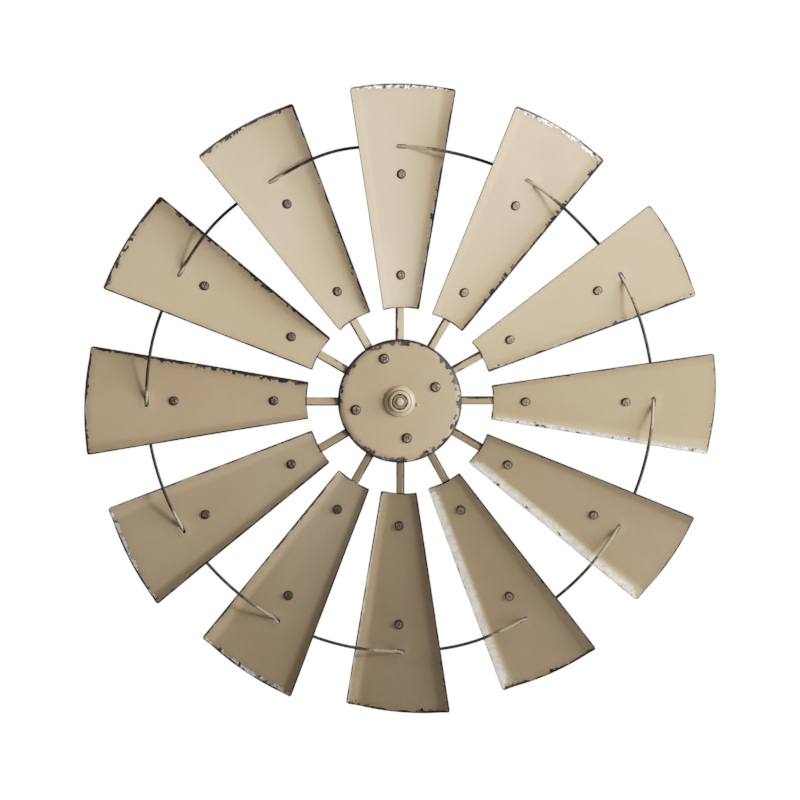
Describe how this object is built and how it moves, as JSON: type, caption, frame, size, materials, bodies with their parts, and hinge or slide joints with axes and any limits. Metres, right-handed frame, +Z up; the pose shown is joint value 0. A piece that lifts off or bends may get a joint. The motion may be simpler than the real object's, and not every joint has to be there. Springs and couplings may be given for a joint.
{
  "type": "garden windmill",
  "caption": "Bladed wheel of a farm-style windmill as a wall ornament: pitched sheet blades on flat spokes round a bolted hub, tied by a wire ring and turning on a wall bracket.",
  "frame": {"origin": "on the axle's line, in the face that rests on the wall", "axes": "+Y into the wall along the axle, +Z up, +X to the right of a person facing the windmill"},
  "size_m": [0.762, 0.0751, 0.762],
  "materials": {
    "blade_paint": "worn cream enamel over dark primer, satin",
    "spoke_paint": "worn cream enamel, satin",
    "hub_paint": "worn cream enamel, satin",
    "nut_paint": "cream enamel brushed over the nut",
    "ring_wire": "dark wire with cream paint left near the blades",
    "screw_steel": "aged brown steel",
    "axle_steel": "plain turned steel, painted at its tip",
    "bare_steel": "zinc plated, dull",
    "bush_bronze": "sintered bronze, matt",
    "bracket_paint": "dark brown primer, matt"
  },
  "bodies": {
    "bracket": {"wall_plate": "bracket_paint", "stand_off": "bracket_paint", "axle": "axle_steel", "axle_nut": "nut_paint", "front_washer": "bare_steel", "rear_washer": "bare_steel"},
    "wheel": {"blade_01": "blade_paint", "blade_02": "blade_paint", "blade_03": "blade_paint", "blade_04": "blade_paint", "blade_05": "blade_paint", "blade_06": "blade_paint", "blade_07": "blade_paint", "blade_08": "blade_paint", "blade_09": "blade_paint", "blade_10": "blade_paint", "blade_11": "blade_paint", "blade_12": "blade_paint", "spoke_01": "spoke_paint", "spoke_02": "spoke_paint", "spoke_03": "spoke_paint", "spoke_04": "spoke_paint", "spoke_05": "spoke_paint", "spoke_06": "spoke_paint", "spoke_07": "spoke_paint", "spoke_08": "spoke_paint", "spoke_09": "spoke_paint", "spoke_10": "spoke_paint", "spoke_11": "spoke_paint", "spoke_12": "spoke_paint", "ring": "ring_wire", "hub_front_plate": "hub_paint", "hub_back_plate": "hub_paint", "hub_barrel": "bare_steel", "hub_boss": "hub_paint", "front_bush": "bush_bronze", "rear_bush": "bush_bronze", "hub_screws": "screw_steel", "hub_nuts": "screw_steel", "blade_screws": "screw_steel", "blade_nuts": "screw_steel"}
  },
  "joints": [
    {"name": "wheel_spin", "type": "hinge", "parent": "bracket", "child": "wheel", "pos_m": [0, -0.042, 0], "axis": [0, -1, 0], "continuous": true}
  ]
}
